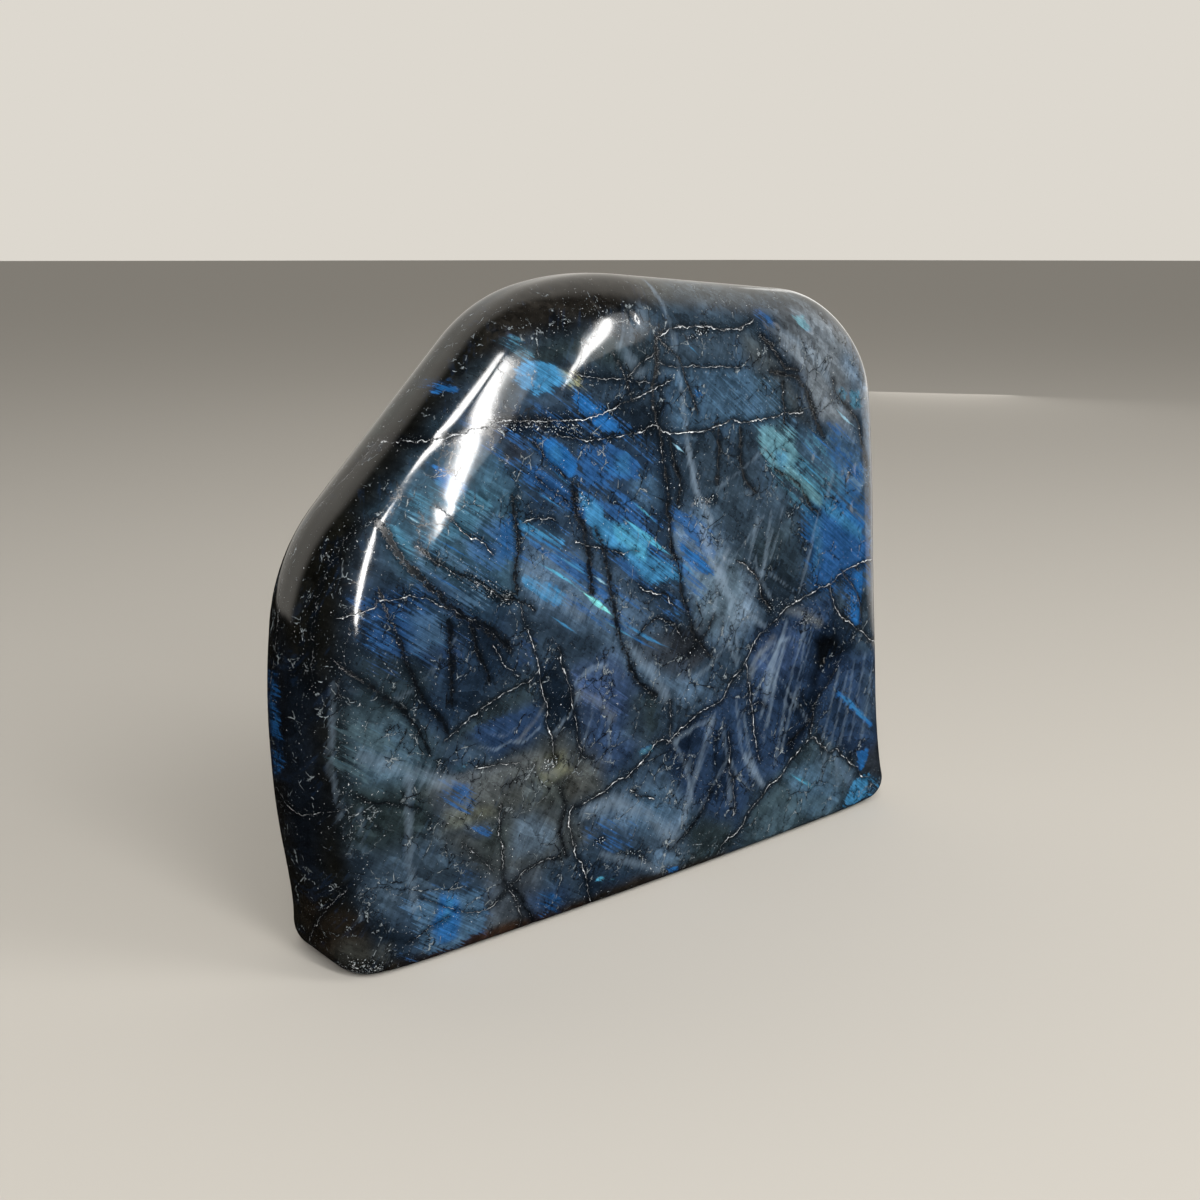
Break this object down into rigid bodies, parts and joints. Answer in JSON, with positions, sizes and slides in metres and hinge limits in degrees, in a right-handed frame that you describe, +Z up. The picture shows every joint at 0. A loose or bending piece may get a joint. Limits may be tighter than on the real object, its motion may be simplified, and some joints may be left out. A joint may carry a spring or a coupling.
{
  "type": "labradorite freeform",
  "caption": "Polished upright slab of dark labradorite with rolled edges, a slanted shoulder and a flat cut base that it stands on.",
  "frame": {"origin": "middle of the bounding box at the flat base", "axes": "+X to the right along the broad front face, -Y out of the front face, +Z up from the base"},
  "size_m": [0.1622, 0.0388, 0.1317],
  "materials": {
    "labradorite": "high polish over dark blue-black feldspar, with blue, azure and teal flashes, grey veils, pale hairline seams and small pits"
  },
  "bodies": {
    "root": {"labradorite_freeform": "labradorite"}
  },
  "joints": []
}
